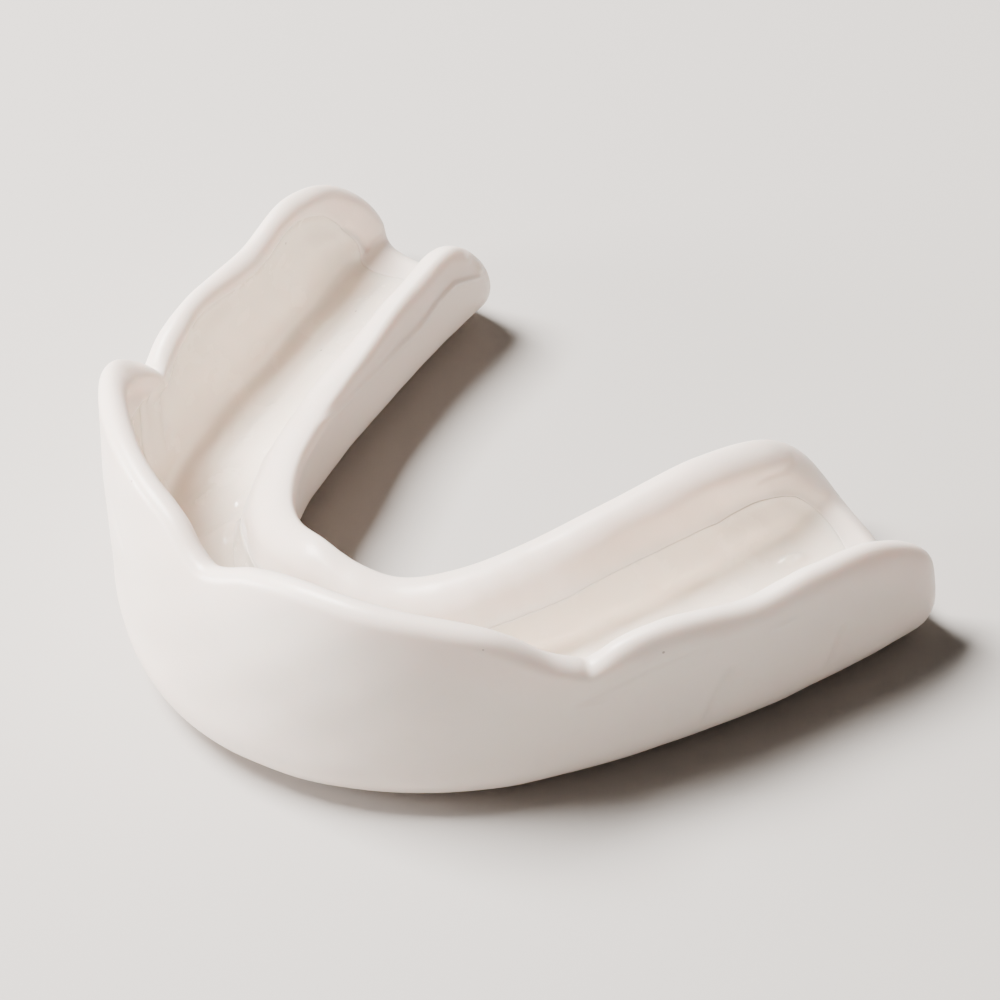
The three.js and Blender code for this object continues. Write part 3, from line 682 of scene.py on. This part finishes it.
def bead_rows(layout, face, radius):
    """Rounded edge from the trim line up to a face."""
    rows = []
    for angle in BEAD_ANGLES:
        place = layout.inset(radius * (1 - np.cos(angle)))
        offset = (layout.ridge * (1 - np.sin(angle)))[:, None]
        rows.append(face(*place, np.sin(angle)) + away(*place) * offset)
    return rows


def build_shell(layout):
    rim = layout.inset(0 * layout.reach)
    ridge = middle(*rim) + away(*rim) * layout.ridge[:, None]

    outer = [ridge] + bead_rows(layout, outer_face, layout.round_out)
    for share in np.linspace(0, 1, 19)[1:]:
        outer.append(outer_face(*layout.inset(mix(layout.round_out, layout.reach, share))))

    channel = [ridge] + bead_rows(layout, channel_face, layout.round_in)
    lip_start = layout.band - LIP
    for share in np.linspace(0, 1, 11)[1:-1]:
        distance = mix(np.minimum(layout.round_in, lip_start), lip_start, share)
        channel.append(channel_face(*layout.inset(distance)))
    for angle in LIP_ANGLES:
        place = layout.inset(layout.band - LIP * (1 - np.sin(angle)))
        channel.append(channel_face(*place, drop=LIP * (1 - np.cos(angle))))
    # down the side of the liner's seat and in to the block
    place = layout.inset(layout.band)
    seat = liner_depth(*place)
    channel.append(channel_point(*place, mix(LIP, seat, 0.5)))
    channel.append(channel_point(*place, seat))
    place = layout.inset(layout.reach)
    channel.append(channel_point(*place, liner_depth(*place)))

    block = layout.block
    return weld([rings(outer), grid(outer_face(*block))],
                [rings(channel), grid(channel_point(*block, liner_depth(*block)))])


def liner_block_drop(layout, step):
    """Step over the block: equal to the ring's on the border, fading to none inside."""
    cheek, tongue, left, right = layout.edges(step)
    u = np.arange(layout.columns + 1)[:, None] / layout.columns
    v = np.arange(layout.rows + 1)[None] / layout.rows
    drop = mix(cheek[:, None], tongue[:, None], v)
    drop = np.where(u < 0.1, mix(left[None], drop, ease(u / 0.1)), drop)
    drop = np.where(u > 0.9, mix(right[None], drop, ease((1 - u) / 0.1)), drop)
    drop[:, 0], drop[:, -1], drop[0], drop[-1] = cheek, tongue, left, right
    from_edge = np.minimum(np.minimum(u, 1 - u) * BLOCK_LENGTH, np.minimum(v, 1 - v) * BLOCK_WIDTH)
    return STEP_SHARE * drop * (1 - ease(from_edge / STEP_FADE))


def build_liner(layout):
    def underside(place):
        return channel_point(*place, liner_depth(*place) - BOND_GAP)

    edge = layout.band + LINER_CLEARANCE
    step = step_at(layout.outline[:, 1])
    place = layout.inset(edge)
    foot = underside(place)
    side = channel_point(*place, mix(step + LINER_ROUND, liner_depth(*place), 0.45))
    rows = [foot, side]
    for angle in LIP_ANGLES:
        place = layout.inset(edge + LINER_ROUND * (1 - np.cos(angle)))
        rows.append(channel_face(*place, drop=step + LINER_ROUND * (1 - np.sin(angle))))
    for share in (0.25, 0.5, 0.75, 1.0):
        place = layout.inset(mix(edge + LINER_ROUND, layout.reach, share))
        rows.append(channel_face(*place, drop=step * mix(1, STEP_SHARE, share)))

    block = layout.block
    top = channel_face(*block, drop=liner_block_drop(layout, step))
    return weld([grid(underside(block)), rings([foot, underside(layout.inset(layout.reach))])],
                [rings(rows), grid(top)])


# ---- materials -------------------------------------------------------------------------------
def srgb(*channels):
    """Linear RGBA from 0..255 sRGB values."""
    shares = [value / 255 for value in channels]
    linear = [s / 12.92 if s <= 0.04045 else ((s + 0.055) / 1.055) ** 2.4 for s in shares]
    return (*linear, 1.0)


def add_node(tree, kind, inputs, **settings):
    """New node; an input given as a socket is linked, any other value is set."""
    node = tree.nodes.new(kind)
    for name, value in settings.items():
        setattr(node, name, value)
    for name, value in inputs.items():
        if isinstance(value, bpy.types.NodeSocket):
            tree.links.new(value, node.inputs[name])
        else:
            node.inputs[name].default_value = value
    return node


def polymer(name, light, dark, roughness, coat, specks):
    """Slightly translucent polymer; specks are (centre, radius) in metres."""
    material = bpy.data.materials.new(name)
    material.use_nodes = True
    tree = material.node_tree
    tree.nodes.clear()
    output = add_node(tree, "ShaderNodeOutputMaterial", {})
    surface = add_node(tree, "ShaderNodeBsdfPrincipled", {
        "IOR": 1.49,
        "Subsurface Weight": 0.38,
        "Subsurface Radius": (1.0, 0.66, 0.50),
        "Subsurface Scale": 0.0012,
        "Coat Weight": coat,
        "Coat Roughness": 0.18,
    })
    tree.links.new(surface.outputs[0], output.inputs[0])
    position = add_node(tree, "ShaderNodeTexCoord", {}).outputs["Object"]

    def noise(scale, detail, roughness=0.5):
        return add_node(tree, "ShaderNodeTexNoise", {
            "Vector": position, "Scale": scale, "Detail": detail, "Roughness": roughness,
        }).outputs["Fac"]

    def remap(value, source, target):
        return add_node(tree, "ShaderNodeMapRange", {
            "Value": value, "From Min": source[0], "From Max": source[1],
            "To Min": target[0], "To Max": target[1],
        }).outputs[0]

    def blend(factor, below, above):
        # 6 and 7 are the colour inputs of the mix node, 2 its colour output
        return add_node(tree, "ShaderNodeMix", {"Factor": factor, 6: below, 7: above},
                        data_type="RGBA").outputs[2]

    def speck_mask(centre, radius):
        distance = add_node(tree, "ShaderNodeVectorMath", {0: position, 1: centre},
                            operation="DISTANCE").outputs["Value"]
        return remap(distance, source=(radius * 0.55, radius), target=(0.6, 0.0))

    def bump_map(height, strength, distance, **normal):
        return add_node(tree, "ShaderNodeBump", {
            "Height": height, "Strength": strength, "Distance": distance, **normal,
        }).outputs[0]

    # cloudy colour
    cloud = noise(scale=60, detail=4)
    ramp = add_node(tree, "ShaderNodeValToRGB", {"Fac": cloud})
    for stop, place, colour in zip(ramp.color_ramp.elements, (0.3, 0.68), (dark, light)):
        stop.position = place
        stop.color = colour
    # soft greyish bloom in patches
    patches = noise(scale=240, detail=6, roughness=0.7)
    bloom = remap(patches, source=(0.52, 0.8), target=(0.0, 0.22))
    colour = blend(bloom, ramp.outputs["Color"], srgb(222, 208, 196))
    # tiny dark specks
    mask = speck_mask(*specks[0])
    for speck in specks[1:]:
        mask = add_node(tree, "ShaderNodeMath", {0: mask, 1: speck_mask(*speck)},
                        operation="MAXIMUM").outputs[0]
    colour = blend(mask, colour, srgb(112, 84, 66))
    tree.links.new(colour, surface.inputs["Base Color"])

    gloss = remap(noise(scale=320, detail=5), source=(0.3, 0.7),
                  target=(roughness - 0.06, roughness + 0.08))
    tree.links.new(gloss, surface.inputs["Roughness"])

    # fine grain over a soft orange peel; distances in metres
    grain = noise(scale=2600, detail=3)
    peel = noise(scale=420, detail=2)
    normal = bump_map(grain, strength=0.35, distance=0.000012)
    normal = bump_map(peel, strength=0.6, distance=0.00004, Normal=normal)
    tree.links.new(normal, surface.inputs["Normal"])
    return material


def specks_on(face, *places):
    """(centre, radius) in metres for each (along, across, radius)."""
    places = np.array(places, float)
    centres = to_metres(face(places[:, 0], places[:, 1]))
    return [(tuple(centre), radius / 1000.0)
            for centre, radius in zip(centres.tolist(), places[:, 2].tolist())]


def floor_paper():
    material = bpy.data.materials.new("floor_paper")
    material.use_nodes = True
    tree = material.node_tree
    surface = tree.nodes["Principled BSDF"]
    noise = add_node(tree, "ShaderNodeTexNoise", {"Scale": 14})
    ramp = add_node(tree, "ShaderNodeValToRGB", {"Fac": noise.outputs["Fac"]})
    ramp.color_ramp.elements[0].color = srgb(178, 174, 170)
    ramp.color_ramp.elements[1].color = srgb(185, 181, 177)
    tree.links.new(ramp.outputs["Color"], surface.inputs["Base Color"])
    surface.inputs["Roughness"].default_value = 0.8
    return material


# ---- the guard -------------------------------------------------------------------------------
guard_layout = Layout(columns=320, rows=144)

shell_material = polymer(
    "shell_eva", light=srgb(248, 234, 224), dark=srgb(244, 228, 217), roughness=0.36, coat=0.12,
    specks=specks_on(outer_face, (-7.5, 24.2, 0.13), (29.6, 16.6, 0.15), (18.6, 21.6, 0.12),
                     (-41.3, -14.0, 0.16)))
liner_material = polymer(
    "liner_eva", light=srgb(248, 236, 224), dark=srgb(244, 230, 216), roughness=0.23, coat=0.4,
    specks=specks_on(channel_face, (-37.2, 1.4, 0.12), (-42.5, 1.3, 0.11), (-34.6, -0.6, 0.10),
                     (-40.6, 14.4, 0.14), (-13.1, 16.4, 0.13)))

shell = make_object("shell_moulded", *build_shell(guard_layout), shell_material)
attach(shell, "root")
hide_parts("outer_shell")

liner = make_object("liner_moulded", *build_liner(guard_layout), liner_material)
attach(liner, "root")
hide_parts("inner_liner")

# ---- stage, in metres: pale floor, camera, soft light ----------------------------------------
paper = floor_paper()
bpy.ops.mesh.primitive_plane_add(size=6, location=(0, 0, -0.00002))
floor = bpy.context.object
floor.name = "floor"
floor.data.materials.append(paper)

CAMERA_AT = (232.82985, -147.03888, 284.06476)  # mm, in the arch's frame
CAMERA_RIGHT = Vector((0.67624268, 0.72689187, -0.11968310))
CAMERA_UP = Vector((-0.45640807, 0.54092557, 0.70646387))
CAMERA_BACK = Vector((0.57826249, -0.42311669, 0.69755627))

lens = bpy.data.cameras.new("camera")
camera = bpy.data.objects.new("camera", lens)
bpy.context.scene.collection.objects.link(camera)
pose = Matrix((CAMERA_RIGHT, CAMERA_UP, CAMERA_BACK)).transposed().to_4x4()
pose.translation = to_metres(np.array(CAMERA_AT)).tolist()
camera.matrix_world = pose
lens.sensor_width = 36
lens.lens = 181.582848
lens.clip_start, lens.clip_end = 0.01, 20
bpy.context.scene.camera = camera


def add_light(name, left, height, forward, size, power, colour):
    """Square light aimed at the guard; left and forward are level, as the camera sees them."""
    level_left = Vector((-CAMERA_RIGHT.x, -CAMERA_RIGHT.y, 0.0)).normalized()
    level_back = Vector((CAMERA_BACK.x, CAMERA_BACK.y, 0.0)).normalized()
    place = level_left * left + Vector((0, 0, height)) - level_back * forward
    light = bpy.data.lights.new(name, "AREA")
    light.shape = "RECTANGLE"
    light.size = light.size_y = size
    light.energy = power
    light.color = colour
    holder = bpy.data.objects.new(name, light)
    holder.location = place
    aim = Vector((0, 0, 0.008)) - place
    holder.rotation_euler = aim.to_track_quat("-Z", "Y").to_euler()
    bpy.context.scene.collection.objects.link(holder)


add_light("key", left=0.23, height=0.51, forward=0.11, size=0.27, power=17.2,
          colour=(1.0, 0.965, 0.93))
add_light("low", left=0.52, height=0.12, forward=0.06, size=0.18, power=5.4,
          colour=(1.0, 0.96, 0.94))

world = bpy.data.worlds.new("world")
bpy.context.scene.world = world
world.use_nodes = True
background = world.node_tree.nodes["Background"]
background.inputs["Color"].default_value = (1.0, 0.95, 0.92, 1)
background.inputs["Strength"].default_value = 0.08
